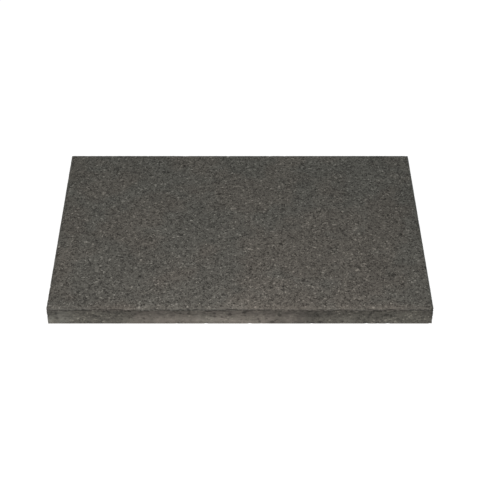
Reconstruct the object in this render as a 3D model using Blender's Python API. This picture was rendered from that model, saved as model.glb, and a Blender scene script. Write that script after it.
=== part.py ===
"""A rectangular basalt-concrete slab, pressed in two layers and lying on its underside.

Metres, +Z up. The origin is the middle of the underside. X runs along the long side and
-Y is the front. The slab is made as a two-layer pressing is: a thin facing of fine
basalt concrete, whose rim is rounded by the press, on a thicker core of plain concrete.
Both layers are cut from the same blank by the same uneven bond surface, so their sides
stay flush whatever size is changed.
"""

import math

import bmesh
import bpy
from mathutils import Matrix

# The slab's overall size.
LENGTH = 0.600
WIDTH = 0.400
THICKNESS = 0.035

# Its edges. The rim's curve is flatter than a quarter circle: it starts RIM_REACH in from the
# side and ends RIM_DROP below the top. The others are the distance taken off the side faces.
RIM_REACH = 0.008
RIM_DROP = 0.0044
CORNER_ROUNDING = 0.0012
UNDERSIDE_ROUNDING = 0.001
ROUNDING_STEPS = 4

# The two layers. The bond between them rises and falls a little, as pressed layers do.
FACING_THICKNESS = 0.008
BOND_GAP = 0.0003
BOND_WAVE = 0.0006
BOND_PITCH = 0.110
BOND_ACROSS_PITCH = 0.088
BOND_DRIFT_PITCH = 0.187
BOND_CELL = 0.020

# How far the cutting block reaches past the slab.
CUTTER_MARGIN = 0.010

FACING_COLOUR = (0.093, 0.089, 0.078)
FACING_ROUGHNESS = 0.92
CORE_COLOUR = (0.108, 0.098, 0.084)
CORE_ROUGHNESS = 0.88


def clear_scene():
    """Remove whatever the file opened with."""
    for thing in list(bpy.data.objects):
        bpy.data.objects.remove(thing)


def concrete(name, colour, roughness):
    """One matt, non-metallic concrete."""
    material = bpy.data.materials.new(name)
    material.use_nodes = True
    shader = material.node_tree.nodes["Principled BSDF"]
    shader.inputs["Base Color"].default_value = (*colour, 1.0)
    shader.inputs["Roughness"].default_value = roughness
    shader.inputs["Metallic"].default_value = 0.0
    material.diffuse_color = (*colour, 1.0)
    return material


def add_object(name, form):
    """Turn a bmesh into an object of the scene."""
    mesh = bpy.data.meshes.new(name)
    form.to_mesh(mesh)
    form.free()
    thing = bpy.data.objects.new(name, mesh)
    bpy.context.scene.collection.objects.link(thing)
    return thing


def apply_modifiers(thing):
    """Give an object the mesh that its modifiers make of it, and no modifiers."""
    evaluated = thing.evaluated_get(bpy.context.evaluated_depsgraph_get())
    thing.data = bpy.data.meshes.new_from_object(evaluated)
    thing.modifiers.clear()


def rounding_of(edge):
    """How much an edge of the plain block is rounded: upright corner, top rim or underside."""
    low, high = sorted(corner.co.z for corner in edge.verts)
    if high > low:
        return CORNER_ROUNDING
    return RIM_REACH if low > 0.0 else UNDERSIDE_ROUNDING


def slab_blank(name):
    """The whole slab as one block, its rim, corners and underside edges rounded by a Bevel.

    A Bevel takes the same off both faces, so the block is rounded while it is too tall. Its
    mesh is then flattened to the thickness, which makes the rim's curve flatter too.
    """
    tall = RIM_REACH / RIM_DROP
    form = bmesh.new()
    bmesh.ops.create_cube(form, size=1.0)
    bmesh.ops.scale(form, vec=(LENGTH, WIDTH, THICKNESS * tall), verts=form.verts)
    bmesh.ops.translate(form, vec=(0.0, 0.0, THICKNESS * tall / 2), verts=form.verts)
    widest = max(RIM_REACH, CORNER_ROUNDING, UNDERSIDE_ROUNDING)
    share = form.edges.layers.float.new("bevel_weight_edge")
    for edge in form.edges:
        edge[share] = rounding_of(edge) / widest
    blank = add_object(name, form)
    rounding = blank.modifiers.new("rounding", "BEVEL")
    rounding.limit_method = "WEIGHT"
    rounding.width = widest
    rounding.segments = ROUNDING_STEPS
    rounding.profile = 0.5
    apply_modifiers(blank)
    blank.data.transform(Matrix.Diagonal((1.0, 1.0, 1.0 / tall, 1.0)))
    return blank


def bond_height(x, y):
    """The height of the bond between the layers, a slow wave round its mean height."""
    drift = math.sin(2 * math.pi * y / BOND_DRIFT_PITCH)
    along = math.sin(2 * math.pi * x / BOND_PITCH + drift)
    across = math.cos(2 * math.pi * y / BOND_ACROSS_PITCH)
    return THICKNESS - FACING_THICKNESS + BOND_WAVE * (along + across) / 2


def bond_block(name, far_height, offset):
    """A block with the bond as one face, moved by offset, and a flat face at far_height."""
    span_x = LENGTH + 2 * CUTTER_MARGIN
    span_y = WIDTH + 2 * CUTTER_MARGIN
    form = bmesh.new()
    bmesh.ops.create_grid(
        form,
        x_segments=math.ceil(span_x / BOND_CELL),
        y_segments=math.ceil(span_y / BOND_CELL),
        size=0.5,
    )
    bmesh.ops.scale(form, vec=(span_x, span_y, 1.0), verts=form.verts)
    for point in form.verts:
        point.co.z = bond_height(point.co.x, point.co.y) + offset
    pulled = bmesh.ops.extrude_face_region(form, geom=list(form.faces))
    for piece in pulled["geom"]:
        if isinstance(piece, bmesh.types.BMVert):
            piece.co.z = far_height
    bmesh.ops.recalc_face_normals(form, faces=form.faces)
    # Both blocks split their bond's cells the same way, so the gap is even everywhere.
    bmesh.ops.triangulate(form, faces=form.faces, quad_method="FIXED")
    block = add_object(name, form)
    block.hide_render = True
    block.display_type = "WIRE"
    return block


def layer(name, cutter, material):
    """One layer: the slab's blank less everything on the other side of the bond."""
    body = slab_blank(name)
    cut = body.modifiers.new("bond", "BOOLEAN")
    cut.operation = "DIFFERENCE"
    cut.solver = "EXACT"
    cut.object = cutter
    body.data.materials.append(material)
    return body


def build():
    """The facing on its core."""
    clear_scene()
    below_bond = bond_block("cutter_below_bond", -CUTTER_MARGIN, BOND_GAP / 2)
    above_bond = bond_block("cutter_above_bond", THICKNESS + CUTTER_MARGIN, -BOND_GAP / 2)
    layer("facing_layer", below_bond, concrete("facing", FACING_COLOUR, FACING_ROUGHNESS))
    layer("core_layer", above_bond, concrete("core", CORE_COLOUR, CORE_ROUGHNESS))


build()
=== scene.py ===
# %% [markdown]
# # A pressed slab of basalt concrete
#
# The object is a flat slab, as laid on a terrace or used as a base for something heavy. A press makes
# it in two layers. A thin facing of crushed basalt in dark cement goes on a thicker core of plain
# concrete, both are squeezed together while wet, and the face is later blasted, so that the grains
# stand out of the cement.
#
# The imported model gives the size, the place and the height of the bond between the layers. This
# script adds what the eye sees: the grains, the pits, the rounded rim with its ragged burr, the cloudy
# sides, and the colours of the two concretes.

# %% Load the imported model
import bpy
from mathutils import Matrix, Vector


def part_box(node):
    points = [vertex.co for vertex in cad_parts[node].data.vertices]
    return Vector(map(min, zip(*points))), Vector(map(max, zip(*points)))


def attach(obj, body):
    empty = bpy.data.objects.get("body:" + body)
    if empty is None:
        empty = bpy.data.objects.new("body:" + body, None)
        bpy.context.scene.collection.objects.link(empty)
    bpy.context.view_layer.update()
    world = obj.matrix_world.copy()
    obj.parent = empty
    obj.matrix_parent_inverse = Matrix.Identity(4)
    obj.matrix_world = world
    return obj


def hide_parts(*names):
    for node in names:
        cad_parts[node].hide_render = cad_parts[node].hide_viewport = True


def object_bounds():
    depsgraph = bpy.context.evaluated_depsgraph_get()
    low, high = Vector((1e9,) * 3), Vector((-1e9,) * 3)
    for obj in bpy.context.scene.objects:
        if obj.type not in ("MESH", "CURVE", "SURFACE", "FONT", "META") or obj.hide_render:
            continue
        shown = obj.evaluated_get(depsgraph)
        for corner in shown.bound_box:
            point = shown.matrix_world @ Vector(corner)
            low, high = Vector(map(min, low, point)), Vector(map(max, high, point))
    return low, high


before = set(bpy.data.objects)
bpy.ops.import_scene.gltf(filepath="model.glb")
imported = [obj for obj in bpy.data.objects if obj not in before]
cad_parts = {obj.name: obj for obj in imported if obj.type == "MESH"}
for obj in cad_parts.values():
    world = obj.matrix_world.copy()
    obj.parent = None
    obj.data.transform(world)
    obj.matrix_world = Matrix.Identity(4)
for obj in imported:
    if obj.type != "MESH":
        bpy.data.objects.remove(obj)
cad_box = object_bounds()
print("The packed model reaches from", cad_box[0], "to", cad_box[1])

# %% The other modules that the lesson uses
import math
import random

import bmesh
import bpy
from mathutils import Matrix, Vector, kdtree, noise

# %% [markdown]
# ## Sizes
#
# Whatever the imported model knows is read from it: the slab's half length and half width, its
# thickness, and the mean height of the bond. The rest are the small sizes of the surface, in metres.

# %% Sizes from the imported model
half_length, half_width, thickness = cad_box[1]
bond = (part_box("facing_layer")[0][2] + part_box("core_layer")[1][2]) / 2
print("Half length", half_length, "half width", half_width, "bond at", round(bond, 4))

# %% Sizes of the rounded edges
rim_reach = 0.008
rim_drop = 0.0044
corner = 0.0012
under_edge = 0.0004

# %% Sizes of the mesh cells
face_cell = 0.0019
core_cell = 0.0022
rim_cell = 0.0008
side_cell = 0.0011

# %% [markdown]
# ## A block of fine cells
#
# Both layers start as a plain block whose faces are cut into small cells, so that there are points to
# move when the surface gets its grain. A cube could be subdivided evenly, but its long sides would
# then get long cells. Here the block is first scored across where the rounded edges begin, and then
# every edge is split by its own length. The cells stay nearly square, and they are finer in the
# rounded bands. The face that lies on the other layer is left out, since nobody sees its cells.

# %% A block with one face left out
aligned = 0.9  # the least cosine at which a direction counts as lying along an axis


def open_block(low, high, hidden_side):
    """The slab's plain block between two heights, without its lower (-1) or upper (1) face."""
    form = bmesh.new()
    bmesh.ops.create_cube(form, size=1.0)
    size = (2 * half_length, 2 * half_width, high - low)
    bmesh.ops.scale(form, vec=size, verts=form.verts)
    bmesh.ops.translate(form, vec=(0.0, 0.0, (low + high) / 2), verts=form.verts)
    form.normal_update()
    hidden = [face for face in form.faces if face.normal.z * hidden_side > aligned]
    bmesh.ops.delete(form, geom=hidden, context="FACES_ONLY")
    return form


# %% Scoring the block across
def score(form, axis, places):
    """Cut all the way through the block's faces at these places along an axis."""
    across = Vector(float(number == axis) for number in range(3))
    for place in places:
        everything = [*form.verts, *form.edges, *form.faces]
        bmesh.ops.bisect_plane(
            form, geom=everything, plane_co=across * place, plane_no=across
        )


# %% Splitting the edges along one axis
length_digits = 5
longest_band_edge = 1.01 * rim_reach


def split_along(form, axis, cell):
    """Split the edges that run along an axis into equal cells, finer where the edge is short."""
    by_length = {}
    for edge in form.edges:
        run = edge.verts[1].co - edge.verts[0].co
        if abs(run[axis]) > aligned * run.length:
            by_length.setdefault(round(run.length, length_digits), []).append(edge)
    for length, edges in sorted(by_length.items()):
        wanted = rim_cell if length < longest_band_edge else cell
        cuts = math.ceil(length / wanted) - 1
        if cuts > 0:
            bmesh.ops.subdivide_edges(form, edges=edges, cuts=cuts)


# %% [markdown]
# ## The rounded form
#
# A press plate with a hollow edge rounds the upper rim, and the mould's corners are slightly rounded
# too. A Bevel gives such edges in a few strips, but here every point of the cut block is moved onto
# the rounded form by a rule, so the fine cells follow the rounding.
#
# A point in the outer band has a reach: how far it lies past the band's inner line, in the direction
# of the nearest side. Seen from the end the rim is a quarter of an ellipse, longer inwards than
# downwards. In plan the corner is a superellipse, whose power is chosen so that it cuts off as much
# as a round corner of the wanted radius does.

# %% The rule for a rounded point
corner_cut = corner * (1 - math.sqrt(0.5))
squareness = math.log(2) / -math.log(1 - corner_cut / rim_reach)


def rounded(point):
    """Where a point of the plain block goes on the rounded slab."""
    past_x = max(0.0, abs(point.x) - (half_length - rim_reach))
    past_y = max(0.0, abs(point.y) - (half_width - rim_reach))
    reach = max(past_x, past_y)
    if reach == 0.0:
        return point.copy()
    ring, height = reach, point.z
    above = height - (thickness - rim_drop)
    below = under_edge - height
    past_under = reach - (rim_reach - under_edge)
    if above > 0.0:
        pull = 1.0 / math.hypot(reach / rim_reach, above / rim_drop)
        ring = reach * pull
        height = thickness - rim_drop + above * pull
    elif below > 0.0 and past_under > 0.0:
        pull = under_edge / math.hypot(past_under, below)
        ring = rim_reach - under_edge + past_under * pull
        height = under_edge - below * pull
    share_x, share_y = past_x / rim_reach, past_y / rim_reach
    spread = rim_reach * (share_x**squareness + share_y**squareness) ** (1 / squareness)
    x = half_length - rim_reach + past_x * ring / spread if past_x else abs(point.x)
    y = half_width - rim_reach + past_y * ring / spread if past_y else abs(point.y)
    return Vector((math.copysign(x, point.x), math.copysign(y, point.y), height))


print("The plan corner is a superellipse of power", round(squareness, 2))


# %% Cutting and rounding one layer
def rounded_layer(low, high, hidden_side, cell):
    """One layer of the slab: its block, cut into cells and rounded."""
    form = open_block(low, high, hidden_side)
    for axis, half in ((0, half_length), (1, half_width)):
        inner, outer = half - rim_reach, half - under_edge
        lines = [-outer, -inner, inner, outer] if low == 0.0 else [-inner, inner]
        score(form, axis, lines)
    score(form, 2, [line for line in (under_edge, thickness - rim_drop) if low < line < high])
    split_along(form, 2, side_cell)
    split_along(form, 0, cell)
    split_along(form, 1, cell)
    for vert in form.verts:
        vert.co = rounded(vert.co)
    form.normal_update()
    return form


# %% [markdown]
# ## Wear and grain as real shape
#
# The surface is carved inwards from the rounded form, never outwards, so the slab keeps its size. A
# carving rule is a function of a point that gives a depth. Three natural shapes are enough: cells
# that stand as grains with gaps between them, a slow wave, and round dents knocked in at random
# places. Each point also keeps how deep it was carved, because the colour needs it later: a hollow
# holds dust, and the material also paints shade into it.

# %% Grains as cells
gap_steepness = 1.8


def gap_between_grains(point, size):
    """0 on the crown of a grain of this size, 1 in the gap between grains."""
    nearest = noise.voronoi(point / size)[0]
    return max(0.0, 1.0 - gap_steepness * (nearest[1] - nearest[0]))


# %% Slow waves
def wave(point, lengths):
    """Slow noise from -1 to 1, with its own length along each axis."""
    return noise.noise(Vector(place / length for place, length in zip(point, lengths)))


def varied(point, middle, swing, lengths):
    """A value that strays from its middle by this swing at most, in a slow wave."""
    return middle + swing * wave(point, lengths)


def swell(point, lengths):
    """A slow wave from 0 to 1."""
    return varied(point, middle=0.5, swing=0.5, lengths=lengths)


# %% Random dents
class Dents:
    """Round dents at random places of a form, knocked in along its normals."""

    def __init__(self, form, seed):
        self.form = form
        self.dice = random.Random(seed)
        self.tree = kdtree.KDTree(len(form.verts))
        for number, vert in enumerate(form.verts):
            self.tree.insert(vert.co, number)
        self.tree.balance()
        form.verts.ensure_lookup_table()
        self.depths = {}

    def knock(self, centre, radius, depth):
        """Note one dent: deepest in its middle and level at its edge."""
        for _, number, distance in self.tree.find_range(centre, radius):
            here = depth * (1.0 - (distance / radius) ** 2)
            self.depths[number] = max(self.depths.get(number, 0.0), here)

    def scatter(self, count, radii, depths, wanted=lambda point: True):
        """Dents of random size at random points of the form that are wanted."""
        knocked = 0
        while knocked < count:
            vert = self.dice.choice(self.form.verts)
            radius = self.dice.uniform(*radii)
            depth = self.dice.uniform(*depths)
            if wanted(vert.co):
                self.knock(vert.co, radius, depth)
                knocked += 1


# %% Carving a form
full_hollow = 0.001


def carve(form, rule, dents):
    """Move every point inwards by the rule and the dents, and keep its share of a full hollow."""
    hollow = form.verts.layers.float.new("hollow")
    for number, vert in enumerate(form.verts):
        shallow, keep_clear = rule(vert.co, vert.normal)
        depth = shallow + dents.depths.get(number, 0.0)
        vert[hollow] = min(1.0, max(0.0, depth - keep_clear) / full_hollow)
        vert.co = vert.co - vert.normal * depth


# %% Making a form an object
def make_object(form, name):
    """An object at the origin that holds the form as its mesh."""
    mesh = bpy.data.meshes.new(name)
    form.to_mesh(mesh)
    form.free()
    thing = bpy.data.objects.new(name, mesh)
    bpy.context.scene.collection.objects.link(thing)
    print(name, "has", len(mesh.vertices), "points and", len(mesh.polygons), "faces")
    return thing


# %% Closing a layer
def finish_layer(form, name):
    """Close the hidden face with one flat cap, and turn the form into a smooth-shaded object."""
    open_edges = [edge for edge in form.edges if edge.is_boundary]
    for edge in open_edges:
        edge.smooth = False
    bmesh.ops.holes_fill(form, edges=open_edges, sides=0)
    bmesh.ops.recalc_face_normals(form, faces=form.faces)
    for face in form.faces:
        face.smooth = True
    return make_object(form, name)


# %% [markdown]
# ## The bond and the ragged line under the rim
#
# The press plate closes on the mould just under the rim. Wet paste is squeezed into that joint and
# leaves a thin burr, and just below it the concrete is starved of paste and stays open. Seen from
# the side that is a bright ragged edge over a dark ragged line, which the materials darken further
# with painted shade. Both layers share the rules below, so the line runs on from the facing into
# the core.

# %% How much a face looks sideways
def sideways(normal):
    """1 on an upright side, 0 on a level face."""
    return math.sqrt(max(0.0, 1.0 - normal.z**2))


# %% The sides and the burr
side_inset = 0.0003
burr_height = thickness - rim_drop
burr_reach = 0.0006
faintest_burr = 0.2


def side_depth(point, normal):
    """The sides lie a little inside the slab's box, which only the burr reaches."""
    upright = sideways(normal)
    ragged = varied(point, middle=0.55, swing=0.45, lengths=(0.004, 0.004, 0.004))
    broken = varied(point, middle=0.5, swing=0.9, lengths=(0.031, 0.031, 0.050))
    burr = max(0.0, 1.0 - abs(point.z - burr_height) / burr_reach)
    proud = burr * ragged * min(1.0, max(faintest_burr, broken))
    return side_inset * upright * (1.0 - proud)


# %% The open line below the burr
open_middle = burr_height - 0.0026
open_reach = 0.0017
open_depth = 0.0010
open_drift = 0.0026
open_jitter = 0.0018
faintest_line = 0.3
upright_length = 0.5  # so long that a wave doesn't change over the height of the side


def open_line_depth(point, normal):
    """The starved line below the burr: a row of uneven shallow hollows."""
    drift = open_drift * wave(point, (0.013, 0.013, upright_length))
    drift += open_jitter * wave(point, (0.0048, 0.0048, upright_length))
    away = abs(point.z - open_middle - drift) / open_reach
    if away >= 1.0:
        return 0.0
    crumbs = max(0.0, varied(point, middle=0.7, swing=1.5, lengths=(0.0034, 0.0034, 0.0026)))
    stretches = varied(point, middle=0.8, swing=0.6, lengths=(0.027, 0.027, upright_length))
    depth = open_depth * (1.0 - away**2) * crumbs
    return depth * max(faintest_line, stretches) * sideways(normal)


# %% [markdown]
# ## The facing
#
# The facing is the part that everybody sees. Its grains are 1 to 4 mm across. The bigger ones are
# carved here, and the finer ones come from the material. A few pits are left where grains broke out
# of the face when it was blasted.

# %% The facing's carving rule
grain_size = 0.0042
grain_relief = 0.00022
sand_relief = 0.00008
flatness = 0.00010


def facing_rule(point, normal):
    """Depth of the facing's surface at a point, and the part of it that isn't a hollow."""
    base = side_depth(point, normal)
    base += flatness * swell(point, (0.17, 0.13, 0.2))
    grains = grain_relief * gap_between_grains(point, grain_size)
    sand = sand_relief * swell(point, (0.0021, 0.0021, 0.0021))
    return base + grains + sand + open_line_depth(point, normal), base


# %% Making the facing
def make_facing():
    """The upper layer, with small and big pits."""
    form = rounded_layer(bond, thickness, -1, face_cell)
    dents = Dents(form, seed=11)
    dents.scatter(420, radii=(0.0018, 0.0030), depths=(0.0002, 0.0006))
    dents.scatter(60, radii=(0.0028, 0.0042), depths=(0.0004, 0.0008))
    carve(form, facing_rule, dents)
    return finish_layer(form, "facing")


facing = make_facing()
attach(facing, "root")
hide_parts("facing_layer")

# %% [markdown]
# ## The core
#
# The core's sides were pressed against steel, so they are smoother than the face, with air holes
# where bubbles were caught and faint upright marks from the mould being lifted. The underside lay on
# the production board: it is flat, with more holes and a slight print of the board's grain.

# %% The core's carving rule
drag_relief = 0.00009
board_relief = 0.00012


def core_rule(point, normal):
    """Depth of the core's surface at a point, and the part of it that isn't a hollow."""
    base = side_depth(point, normal)
    upright = sideways(normal)
    drag = drag_relief * upright * swell(point, (0.003, 0.003, 0.050))
    board = board_relief * (1.0 - upright) * swell(point, (0.120, 0.005, 1.0))
    skin = sand_relief * swell(point, (0.0027, 0.0027, 0.0027))
    return base + drag + board + skin + open_line_depth(point, normal), base + board


# %% Making the core
def on_side(point):
    """Whether a point of the core lies on its sides, not on its underside."""
    return point.z > 2 * under_edge


def make_core():
    """The lower layer, with small air holes in its sides and bigger ones all over."""
    form = rounded_layer(0.0, bond, 1, core_cell)
    dents = Dents(form, seed=23)
    dents.scatter(110, radii=(0.0012, 0.0022), depths=(0.0002, 0.0007), wanted=on_side)
    dents.scatter(420, radii=(0.0022, 0.0036), depths=(0.0003, 0.0010))
    carve(form, core_rule, dents)
    return finish_layer(form, "core")


core = make_core()
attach(core, "root")
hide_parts("core_layer")

# %% [markdown]
# ## Pale grit
#
# Here and there the crushed basalt holds a chip of paler stone, which catches the eye. A chip could
# be a spot in the material. As a small faceted stone of its own it also stands out of the face and
# takes the light as the other grains don't. Each is a low icosphere, flattened and turned at random,
# sunk so that only its crown shows.

# %% Making the pale chips
chip_sizes = (0.0009, 0.0017)
chip_widths = (0.6, 1.0)
chip_flatness = 0.5
chip_tip = 0.3
chip_sunk = 0.45
chip_crown = 0.00012


def make_pale_grit(count, seed):
    """Small stones, half sunk in the face at random places."""
    dice = random.Random(seed)
    form = bmesh.new()
    for _ in range(count):
        size = dice.uniform(*chip_sizes)
        turn = Matrix.Rotation(dice.uniform(0.0, math.tau), 4, "Z")
        tip = Matrix.Rotation(dice.uniform(-chip_tip, chip_tip), 4, "X")
        flat = Matrix.Diagonal((size, size * dice.uniform(*chip_widths), size * chip_flatness, 1.0))
        place = Matrix.Translation(
            (
                dice.uniform(-1, 1) * (half_length - rim_reach),
                dice.uniform(-1, 1) * (half_width - rim_reach),
                thickness - chip_crown - size * chip_sunk,
            )
        )
        bmesh.ops.create_icosphere(
            form, subdivisions=1, radius=1.0, matrix=place @ turn @ tip @ flat
        )
    return make_object(form, "pale_grit")


pale_grit = make_pale_grit(count=130, seed=5)
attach(pale_grit, "root")

# %% [markdown]
# ## Shared effects
#
# Both concretes show the same few things in different amounts: crushed grains in cement, scattered
# spots, and slow clouds of tone. Each is a node group with named inputs, built once. Every material
# then places the group with its own values.

# %% A helper for node groups
def new_group(name, inputs, outputs):
    """An empty shader node group. Inputs are (name, default) pairs, outputs (name, type) pairs."""
    group = bpy.data.node_groups.new(name, "ShaderNodeTree")
    for label, default in inputs:
        kind = "NodeSocketVector" if default is None else "NodeSocketFloat"
        kind = "NodeSocketColor" if isinstance(default, tuple) else kind
        socket = group.interface.new_socket(label, in_out="INPUT", socket_type=kind)
        if default is not None:
            socket.default_value = default
    for label, kind in outputs:
        group.interface.new_socket(label, in_out="OUTPUT", socket_type=kind)
    return group


class Wiring:
    """Adds nodes to a tree and links them, so that a material reads from top to bottom."""

    def __init__(self, tree):
        self.tree = tree

    def plug(self, value, socket):
        """Link a socket to this one, or set a plain value on it."""
        if isinstance(value, bpy.types.NodeSocket):
            self.tree.links.new(value, socket)
        elif value is not None:
            socket.default_value = value

    def add(self, kind, inputs=None, **settings):
        """A node with its settings and inputs."""
        node = self.tree.nodes.new(kind)
        for label, value in settings.items():
            setattr(node, label, value)
        for label, value in (inputs or {}).items():
            self.plug(value, node.inputs[label])
        return node

    def maths(self, operation, first, second=0.0, third=0.0, clamp=False):
        """One Math node."""
        inputs = {0: first, 1: second, 2: third}
        node = self.add("ShaderNodeMath", inputs, operation=operation, use_clamp=clamp)
        return node.outputs[0]

    def line(self, value, slope, start):
        """A value times a slope, added to a start."""
        return self.maths("MULTIPLY_ADD", value, slope, start)

    def fade(self, value, start, end, low=0.0, high=1.0):
        """A smooth change from low to high while value goes from start to end."""
        inputs = {"Value": value, "From Min": start, "From Max": end, "To Min": low, "To Max": high}
        node = self.add("ShaderNodeMapRange", inputs, interpolation_type="SMOOTHSTEP")
        return node.outputs[0]

    def mix(self, share, first, second, blend="MIX"):
        """A colour between two colours."""
        node = self.add("ShaderNodeMix", data_type="RGBA", blend_type=blend)
        self.plug(share, node.inputs[0])
        self.plug(first, node.inputs[6])
        self.plug(second, node.inputs[7])
        return node.outputs[2]

    def mix_value(self, share, first, second):
        """A value between two values."""
        node = self.add("ShaderNodeMix", data_type="FLOAT")
        self.plug(share, node.inputs[0])
        self.plug(first, node.inputs[2])
        self.plug(second, node.inputs[3])
        return node.outputs[0]

    def scaled(self, colour, level):
        """A colour made lighter or darker by a value."""
        node = self.add("ShaderNodeVectorMath", {0: colour}, operation="SCALE")
        self.plug(level, node.inputs["Scale"])
        return node.outputs[0]

    def noise(self, where, size, detail=2.0, roughness=0.5):
        """Noise whose blobs are about this big, in metres."""
        inputs = {"Vector": where, "Scale": 1.0 / size, "Detail": detail, "Roughness": roughness}
        return self.add("ShaderNodeTexNoise", inputs).outputs["Fac"]

    def stretched(self, where, x, y, z, start=0.0):
        """Coordinates that stretch a pattern along the axes. It starts at another place along X."""
        inputs = {"Vector": where, "Scale": (1.0 / x, 1.0 / y, 1.0 / z), "Location": (start, 0.0, 0.0)}
        return self.add("ShaderNodeMapping", inputs).outputs[0]

    def group(self, group, inputs):
        """One of the shared groups, with this material's values."""
        node = self.add("ShaderNodeGroup", node_tree=group)
        for label, value in inputs.items():
            self.plug(value, node.inputs[label])
        return node.outputs


# %% [markdown]
# ### Crushed grains
#
# Broken stone in cement looks like a Voronoi pattern: each cell is one grain with a tone of its own,
# and the cement fills the seams between cells. The cell's random colour picks the tone through a
# ramp that is mostly dark, with few pale grains, and the distance to the edge finds the seams.

# %% The grain group
def build_grain_group():
    """Grains with their own tones and heights, and cement in the seams between them."""
    group = new_group(
        "crushed grains",
        [
            ("Vector", None),
            ("Grains per metre", 420.0),
            ("Dark grain", (0.02, 0.02, 0.02, 1.0)),
            ("Middle grain", (0.06, 0.06, 0.055, 1.0)),
            ("Pale grain", (0.22, 0.21, 0.19, 1.0)),
            ("Cement", (0.08, 0.077, 0.07, 1.0)),
            ("Seam width", 0.10),
        ],
        [("Color", "NodeSocketColor"), ("Height", "NodeSocketFloat")],
    )
    w = Wiring(group)
    given = w.add("NodeGroupInput").outputs
    spot = {"Vector": given["Vector"], "Scale": given["Grains per metre"]}
    cells = w.add("ShaderNodeTexVoronoi", spot, feature="F1")
    edges = w.add("ShaderNodeTexVoronoi", spot, feature="DISTANCE_TO_EDGE")
    tone = w.add("ShaderNodeSeparateColor", {"Color": cells.outputs["Color"]}).outputs[0]
    middle = w.fade(tone, start=0.20, end=0.62)
    pale = w.fade(tone, start=0.84, end=1.0)
    grain = w.mix(middle, given["Dark grain"], given["Middle grain"])
    grain = w.mix(pale, grain, given["Pale grain"])
    seam = w.maths("DIVIDE", edges.outputs["Distance"], given["Seam width"], clamp=True)
    seam = w.maths("SUBTRACT", 1.0, seam)
    inside = w.maths("SUBTRACT", 1.0, seam)
    bulge = w.line(tone, slope=0.6, start=0.4)
    given_out = w.add("NodeGroupOutput").inputs
    w.plug(w.mix(seam, grain, given["Cement"]), given_out["Color"])
    w.plug(w.maths("MULTIPLY", inside, bulge), given_out["Height"])
    return group


grain_group = build_grain_group()
print("Built the group", grain_group.name)

# %% [markdown]
# ### Scattered spots
#
# Pits, air holes and stray chips are all round spots of uneven size at random places. A Voronoi
# pattern again gives one place for each cell. The cell's random values decide whether the cell has a
# spot at all, and how big the spot is.

# %% The spot group
def build_spot_group():
    """Round spots of uneven size, in this share of the cells."""
    group = new_group(
        "scattered spots",
        [("Vector", None), ("Cells per metre", 120.0), ("Share", 0.3), ("Size", 0.2), ("Softness", 0.4)],
        [("Mask", "NodeSocketFloat")],
    )
    w = Wiring(group)
    given = w.add("NodeGroupInput").outputs
    spot = {"Vector": given["Vector"], "Scale": given["Cells per metre"]}
    cells = w.add("ShaderNodeTexVoronoi", spot, feature="F1")
    split = w.add("ShaderNodeSeparateColor", {"Color": cells.outputs["Color"]}).outputs
    chosen = w.maths("LESS_THAN", split[0], given["Share"])
    radius = w.maths("MULTIPLY", given["Size"], w.line(split[1], slope=0.8, start=0.2))
    inner = w.maths("MULTIPLY", radius, w.maths("SUBTRACT", 1.0, given["Softness"]))
    disc = w.fade(cells.outputs["Distance"], radius, inner)
    given_out = w.add("NodeGroupOutput").inputs
    w.plug(w.maths("MULTIPLY", disc, chosen), given_out["Mask"])
    return group


spot_group = build_spot_group()
print("Built the group", spot_group.name)

# %% [markdown]
# ### Clouds of tone
#
# Cement is never one tone. Where it was wetter it dries paler, and where the water carried the fine
# paste away it is darker. Two sizes of noise, added, give a value round 0 that lightens or darkens
# whatever it is multiplied into.

# %% The cloud group
noise_middle = 0.5


def build_cloud_group():
    """A colour made lighter and darker in broad and fine clouds."""
    group = new_group(
        "cement clouds",
        [("Vector", None), ("Color", (0.1, 0.1, 0.1, 1.0)), ("Broad", 0.1), ("Fine", 0.1)],
        [("Color", "NodeSocketColor")],
    )
    w = Wiring(group)
    given = w.add("NodeGroupInput").outputs
    broad = w.noise(given["Vector"], size=0.060, detail=3.0)
    fine = w.noise(given["Vector"], size=0.009, detail=4.0, roughness=0.6)
    cloud = w.maths("MULTIPLY", w.maths("SUBTRACT", broad, noise_middle), given["Broad"])
    cloud = w.line(w.maths("SUBTRACT", fine, noise_middle), slope=given["Fine"], start=cloud)
    given_out = w.add("NodeGroupOutput").inputs
    w.plug(w.scaled(given["Color"], w.maths("ADD", cloud, 1.0)), given_out["Color"])
    return group


cloud_group = build_cloud_group()
print("Built the group", cloud_group.name)

# %% [markdown]
# ## The materials
#
# A material here is one Principled shader with a colour, a roughness and a bump. Dry concrete is
# matt and hardly mirrors anything, so its specular level is set low on the shader itself.

# %% A new concrete material
def new_concrete(name, roughness, specular):
    """A matt material. Returns it with its wiring and its shader."""
    material = bpy.data.materials.new(name)
    material.use_nodes = True
    shader = material.node_tree.nodes["Principled BSDF"]
    shader.inputs["Roughness"].default_value = roughness
    shader.inputs["Metallic"].default_value = 0.0
    shader.inputs["Specular IOR Level"].default_value = specular
    return material, Wiring(material.node_tree), shader


# %% Dust and painted shade in the hollows
dark_from = 0.6


def dust_and_shade_in_hollows(w, colour, shade):
    """Darken a colour in the carved hollows with dust and painted shade, down to this share of itself
    where they are deep.
    """
    hollow = w.add("ShaderNodeAttribute", attribute_name="hollow").outputs["Fac"]
    return w.scaled(colour, w.fade(hollow, start=0.0, end=dark_from, low=1.0, high=shade))


# %% A bump from a height
def plug_bump(w, shader, height, distance, strength=1.0):
    """Feed the shader's normal from a height, which counts as this many metres at 1."""
    bump = w.add("ShaderNodeBump", {"Height": height, "Strength": strength, "Distance": distance})
    w.plug(bump.outputs[0], shader.inputs["Normal"])
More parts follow.
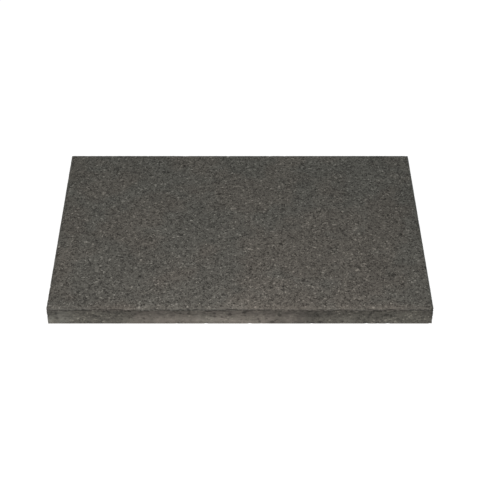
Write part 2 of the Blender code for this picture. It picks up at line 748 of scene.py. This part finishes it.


# %% [markdown]
# ### The facing's material
#
# The grains come in two sizes, mixed by a patchy noise, since the crusher leaves both. Pits go
# inwards and are painted dark as the shade inside them, and pale specks are left for the chips
# that are too small to model.

# %% The facing's grains
facing_cement = (0.1194, 0.1209, 0.1056, 1.0)
facing_stone = {
    "Dark grain": (0.0305, 0.0308, 0.0266, 1.0),
    "Middle grain": (0.1087, 0.1101, 0.0960, 1.0),
    "Pale grain": (0.2318, 0.2349, 0.2047, 1.0),
    "Cement": facing_cement,
}
coarse_grains = {"Grains per metre": 295.0, **facing_stone}
fine_grains = {"Grains per metre": 640.0, **facing_stone}

# %% The facing's spots
facing_pits = {"Cells per metre": 180.0, "Share": 0.42, "Size": 0.23, "Softness": 0.5}
# The pits' dark colour is painted shade, as inside a hole.
facing_pit_shade_colour = (0.0202, 0.0207, 0.0182, 1.0)
facing_pit_shade_strength = 0.72
facing_specks = {"Cells per metre": 110.0, "Share": 0.05, "Size": 0.15, "Softness": 0.3}
facing_speck_colour = (0.3178, 0.3236, 0.2834, 1.0)
facing_speck_strength = 0.8
pit_depth = 1.5

# %% The facing's tones
rim_wiped = 0.45
rim_darker = -0.13
# Below the burr the facing gets painted shade, as under an overhang.
below_burr, below_burr_shade = 0.0014, 0.88
cool_tint, warm_tint = (0.985, 1.0, 1.010, 1.0), (1.025, 0.992, 0.985, 1.0)
# How dark the facing's hollows get with dust and painted shade.
facing_hollow_dust_and_shade = 0.45


def rim_tone_and_burr_shade(w, colour, z, on_rim):
    """The rim a little darker than the face, and painted shade on the strip below the burr."""
    colour = w.scaled(colour, w.line(on_rim, slope=rim_darker, start=1.0))
    foot = burr_height - below_burr
    return w.scaled(colour, w.fade(z, start=burr_height, end=foot, low=1.0, high=below_burr_shade))


def tinted(w, colour, where):
    """The colour, slightly cool in some places and slightly warm in others."""
    warmth = w.fade(w.noise(where, size=0.075), start=0.42, end=0.60)
    return w.mix(1.0, colour, w.mix(warmth, cool_tint, warm_tint), blend="MULTIPLY")


# %% The blasted facing
def facing_material():
    """Two sizes of grains with specks and pits in painted shade, wiped over with cement on the rim."""
    material, w, shader = new_concrete("blasted basalt facing", roughness=0.9, specular=0.2)
    where = w.add("ShaderNodeTexCoord").outputs["Object"]
    z = w.add("ShaderNodeSeparateXYZ", {"Vector": where}).outputs["Z"]
    coarse = w.group(grain_group, {"Vector": where, **coarse_grains})
    fine = w.group(grain_group, {"Vector": where, **fine_grains})
    patchy = w.fade(w.noise(where, size=0.004), start=0.42, end=0.58)
    colour = w.mix(patchy, coarse["Color"], fine["Color"])
    on_rim = w.fade(z, start=thickness - 0.0008, end=thickness - 0.8 * rim_drop)
    colour = w.mix(w.maths("MULTIPLY", on_rim, rim_wiped), colour, facing_cement)
    clouds = w.group(cloud_group, {"Vector": where, "Color": colour, "Broad": 0.34, "Fine": 0.30})
    pits = w.group(spot_group, {"Vector": where, **facing_pits})["Mask"]
    specks = w.group(spot_group, {"Vector": where, **facing_specks})["Mask"]
    # The pits are darkened with painted shade.
    pit_shade = w.maths("MULTIPLY", pits, facing_pit_shade_strength)
    speckled = w.maths("MULTIPLY", specks, facing_speck_strength)
    colour = w.mix(pit_shade, clouds["Color"], facing_pit_shade_colour)
    colour = w.mix(speckled, colour, facing_speck_colour)
    # The rim tone, painted shade below the burr, and the tint.
    colour = tinted(w, rim_tone_and_burr_shade(w, colour, z, on_rim), where)
    # The hollows are darkened with dust and painted shade.
    w.plug(dust_and_shade_in_hollows(w, colour, facing_hollow_dust_and_shade), shader.inputs["Base Color"])
    height = w.mix_value(patchy, coarse["Height"], fine["Height"])
    height = w.maths("SUBTRACT", height, w.maths("MULTIPLY", pits, pit_depth))
    plug_bump(w, shader, height, distance=0.00025)
    return material


facing.data.materials.append(facing_material())
print("The facing wears", facing.data.materials[0].name)

# %% [markdown]
# ### The core's material
#
# The mould gives the sides a smooth pale skin of cement, which hides the grains. Smears of dark paste
# lie along it, most of them near the bond. The side is also darker near the bond and lighter lower
# down, and unevenly darker at the foot. Towards the ends of the slab the skin stuck to the mould, and
# the darker, rougher concrete behind it lies bare. The skin dried brown in the middle and a greener
# grey at the ends.

# %% A place along the slab
near_share = 0.3


def near_place(w, x, place, reach):
    """1 round a place along the slab, falling to 0 at this distance from it."""
    away = w.maths("ABSOLUTE", w.maths("SUBTRACT", x, place))
    return w.fade(away, start=reach, end=near_share * reach)


# %% Where the skin is missing
bare_patches = ((-0.215, 0.075), (0.225, 0.165))
bare_noise = 1.5


def bare_mask(w, where, x):
    """1 where the concrete lies bare, 0 where its skin is whole."""
    mask = w.maths("MULTIPLY", w.noise(where, size=0.025, detail=4.0, roughness=0.6), bare_noise)
    for place, reach in bare_patches:
        mask = w.maths("ADD", mask, near_place(w, x, place, reach))
    return w.fade(mask, start=0.85, end=1.55)


# %% The end that stays darker
dark_end, dark_reach = 0.165, 0.160
end_darker = -0.13


def end_tone(w, x):
    """The side is a little darker towards one end, where the mix was wetter."""
    return w.line(near_place(w, x, dark_end, dark_reach), slope=end_darker, start=1.0)


# %% The skin's own colour
brown_middle, brown_reach, brown_push = -0.02, 0.22, 0.30
green_skin, brown_skin = (0.0945, 0.0990, 0.0870, 1.0), (0.1094, 0.1043, 0.0908, 1.0)


def skin_colour(w, where, x):
    """The colour of the skin, greener at the ends and browner in the middle."""
    cast = w.noise(w.stretched(where, 1.6, 1.6, 1.0), size=0.085)
    cast = w.line(near_place(w, x, brown_middle, brown_reach), slope=brown_push, start=cast)
    return w.mix(w.fade(cast, start=0.50, end=0.74), green_skin, brown_skin)


# %% The tones in the height of the side
height_drift = 0.014
height_tones = {"low": 1.12, "high": 0.60}
foot_swing, foot_start = -0.5, 1.06
foot_top, foot_bottom = 0.0075, 0.0025


def side_height_tone(w, where, z):
    """How much lighter or darker the side is at its height: darker near the bond, lighter lower down,
    and unevenly darker at the foot.
    """
    drift = w.maths("SUBTRACT", w.noise(where, size=0.015, detail=3.0), noise_middle)
    drift = w.maths("MULTIPLY", drift, height_drift)
    by_height = w.fade(w.maths("ADD", z, drift), start=0.004, end=0.025, **height_tones)
    foot_tone = w.line(w.noise(where, size=0.040, detail=3.0), slope=foot_swing, start=foot_start)
    at_foot = w.fade(z, start=foot_top, end=foot_bottom)
    return w.maths("MULTIPLY", by_height, w.mix_value(at_foot, 1.0, foot_tone))


# %% The smears
smear_shape = (1.0, 1.0, 0.35)
smear_lift = 0.14
smear_darker = -0.34


def smear_tone(w, where, z):
    """Smears of dark paste, lying along the side, most of them in its upper half."""
    smears = w.noise(w.stretched(where, *smear_shape), size=0.010, detail=3.0)
    smears = w.line(w.fade(z, start=0.004, end=0.024), slope=smear_lift, start=smears)
    return w.line(w.fade(smears, start=0.56, end=0.76), slope=smear_darker, start=1.0)


# %% The core's grains and spots
core_grains = {
    "Grains per metre": 330.0,
    "Dark grain": (0.0362, 0.0361, 0.0306, 1.0),
    "Middle grain": (0.0724, 0.0727, 0.0610, 1.0),
    "Pale grain": (0.1540, 0.1539, 0.1291, 1.0),
    "Cement": (0.0832, 0.0835, 0.0702, 1.0),
    "Seam width": 0.16,
}
core_holes = {"Cells per metre": 170.0, "Share": 0.06, "Size": 0.15, "Softness": 0.5}
# The air holes' dark colour is painted shade, as inside a hole.
core_hole_shade_colour = (0.0346, 0.0342, 0.0292, 1.0)
core_hole_shade_strength = 0.5
core_specks = {"Cells per metre": 90.0, "Share": 0.10, "Size": 0.13, "Softness": 0.4}
core_speck_colour = (0.2848, 0.2793, 0.2372, 1.0)
core_speck_strength = 0.6

# %% The core's skin and clouds
whole_skin = {"low": 0.35, "high": 0.85}
bare_skin = 0.15
bare_tones = {"low": 1.08, "high": 0.85}
cloud_shape = (1.5, 1.5, 1.4)
cloud_start = 0.664
core_clouds = {"Broad": 1.55, "Fine": 1.0}
# How dark the core's hollows get with dust and painted shade.
core_hollow_dust_and_shade = 0.5
skin_fill = 1.1


# %% The cloudy core
def core_material():
    """Bare concrete under a broken skin of cement, with clouds, smears, air holes in painted shade, and
    specks.
    """
    material, w, shader = new_concrete("pressed core concrete", roughness=0.85, specular=0.2)
    where = w.add("ShaderNodeTexCoord").outputs["Object"]
    axes = w.add("ShaderNodeSeparateXYZ", {"Vector": where}).outputs
    grains = w.group(grain_group, {"Vector": where, **core_grains})
    skinned = w.fade(w.noise(where, size=0.012, detail=3.0), start=0.30, end=0.62, **whole_skin)
    skinned = w.mix_value(bare_mask(w, where, axes["X"]), skinned, bare_skin)
    skin = w.scaled(skin_colour(w, where, axes["X"]), side_height_tone(w, where, axes["Z"]))
    bare = w.scaled(grains["Color"], w.fade(axes["Z"], start=0.0, end=bond, **bare_tones))
    colour = w.scaled(w.mix(skinned, bare, skin), end_tone(w, axes["X"]))
    cloudy = {"Vector": w.stretched(where, *cloud_shape, cloud_start), "Color": colour}
    clouds = w.group(cloud_group, {**cloudy, **core_clouds})
    colour = w.scaled(clouds["Color"], smear_tone(w, where, axes["Z"]))
    holes = w.group(spot_group, {"Vector": where, **core_holes})["Mask"]
    specks = w.group(spot_group, {"Vector": where, **core_specks})["Mask"]
    # The air holes are darkened with painted shade.
    colour = w.mix(w.maths("MULTIPLY", holes, core_hole_shade_strength), colour, core_hole_shade_colour)
    colour = w.mix(w.maths("MULTIPLY", specks, core_speck_strength), colour, core_speck_colour)
    # The hollows are darkened with dust and painted shade.
    w.plug(dust_and_shade_in_hollows(w, colour, core_hollow_dust_and_shade), shader.inputs["Base Color"])
    height = w.maths("MULTIPLY", grains["Height"], w.maths("SUBTRACT", skin_fill, skinned))
    height = w.maths("SUBTRACT", height, w.maths("MULTIPLY", holes, pit_depth))
    plug_bump(w, shader, height, distance=0.0002, strength=0.8)
    return material


core.data.materials.append(core_material())
print("The core wears", core.data.materials[0].name)

# %% [markdown]
# ### The pale chips' material
#
# Each chip gets its own tone from a coarse noise over the face, from a warm grey to a dull white.

# %% The pale chips
grey_chip, white_chip = (0.1695, 0.1714, 0.1483, 1.0), (0.3467, 0.3486, 0.3024, 1.0)


def chip_material():
    """Dull stone whose tone changes from chip to chip."""
    material, w, shader = new_concrete("pale stone chips", roughness=0.7, specular=0.3)
    where = w.add("ShaderNodeTexCoord").outputs["Object"]
    tone = w.fade(w.noise(where, size=0.030, detail=1.0), start=0.35, end=0.65)
    stone = w.mix(tone, grey_chip, white_chip)
    clouds = w.group(cloud_group, {"Vector": where, "Color": stone, "Broad": 0.0, "Fine": 0.8})
    w.plug(clouds["Color"], shader.inputs["Base Color"])
    plug_bump(w, shader, w.noise(where, size=0.0005), distance=0.0001)
    return material


pale_grit.data.materials.append(chip_material())
print("The chips wear", pale_grit.data.materials[0].name)

# %% [markdown]
# ## Floor, light and camera
#
# The slab lies on a light table: a plain floor that glows an even white by itself. Light then comes
# from everywhere, and a thin object has hardly a shadow round it. A white floor lit only by lamps
# would be another way, but it goes grey close to the slab.
#
# The white sky lights the slab at one strength. The camera sees it at another, so that the floor and
# the sky behind it meet without a line. One large soft lamp above the front adds the slight fall-off
# from front to back.

# %% The floor
white = (1.0, 1.0, 1.0, 1.0)
floor_grey = (0.15, 0.15, 0.15, 1.0)
floor_size = 12.0
floor_glow = 0.95


def make_floor():
    """A wide flat sheet that glows."""
    form = bmesh.new()
    bmesh.ops.create_grid(form, x_segments=1, y_segments=1, size=floor_size / 2)
    floor = make_object(form, "floor")
    material = bpy.data.materials.new("pale floor")
    material.use_nodes = True
    shader = material.node_tree.nodes["Principled BSDF"]
    shader.inputs["Base Color"].default_value = floor_grey
    shader.inputs["Emission Color"].default_value = white
    shader.inputs["Emission Strength"].default_value = floor_glow
    shader.inputs["Roughness"].default_value = 1.0
    shader.inputs["Specular IOR Level"].default_value = 0.0
    floor.data.materials.append(material)
    return floor


make_floor()

# %% The sky
sky_strength = 0.66
backdrop_strength = 1.05


def make_sky():
    """White from every side, and brighter where the camera looks straight at it."""
    world = bpy.data.worlds.new("white sky")
    world.use_nodes = True
    sky = world.node_tree.nodes["Background"]
    sky.inputs["Color"].default_value = white
    w = Wiring(world.node_tree)
    seen = w.add("ShaderNodeLightPath").outputs["Is Camera Ray"]
    w.plug(w.mix_value(seen, sky_strength, backdrop_strength), sky.inputs["Strength"])
    bpy.context.scene.world = world


make_sky()

# %% The lamp
lamp_power = 5.3
lamp_colour = (1.0, 0.84, 0.82)
lamp_place = Vector((-0.05, -0.70, 0.50))
lamp_width = 0.5


def make_lamp():
    """A soft round lamp that looks at the middle of the slab."""
    lamp = bpy.data.lights.new("soft lamp", "AREA")
    lamp.shape = "DISK"
    lamp.size = lamp_width
    lamp.energy = lamp_power
    lamp.color = lamp_colour
    holder = bpy.data.objects.new("soft lamp", lamp)
    holder.location = lamp_place
    holder.rotation_euler = (-lamp_place).to_track_quat("-Z", "Y").to_euler()
    bpy.context.scene.collection.objects.link(holder)


make_lamp()

# %% The camera
camera_pitch = math.radians(39.90)
camera_distance = 2.1646
camera_aim = Vector((0.0001, 0.0041, 0.0))
camera_lens = 96.46
camera_sensor = 36.0


def make_camera():
    """A long lens above the front, looking down at the slab."""
    data = bpy.data.cameras.new("camera")
    data.lens = camera_lens
    data.sensor_width = camera_sensor
    camera = bpy.data.objects.new("camera", data)
    back = Vector((0.0, -math.cos(camera_pitch), math.sin(camera_pitch)))
    camera.location = camera_aim + camera_distance * back
    camera.rotation_euler = (math.pi / 2 - camera_pitch, 0.0, 0.0)
    bpy.context.scene.collection.objects.link(camera)
    bpy.context.scene.camera = camera
    print("The camera stands at", [round(value, 3) for value in camera.location])


make_camera()
bpy.context.scene.view_settings.view_transform = "Standard"
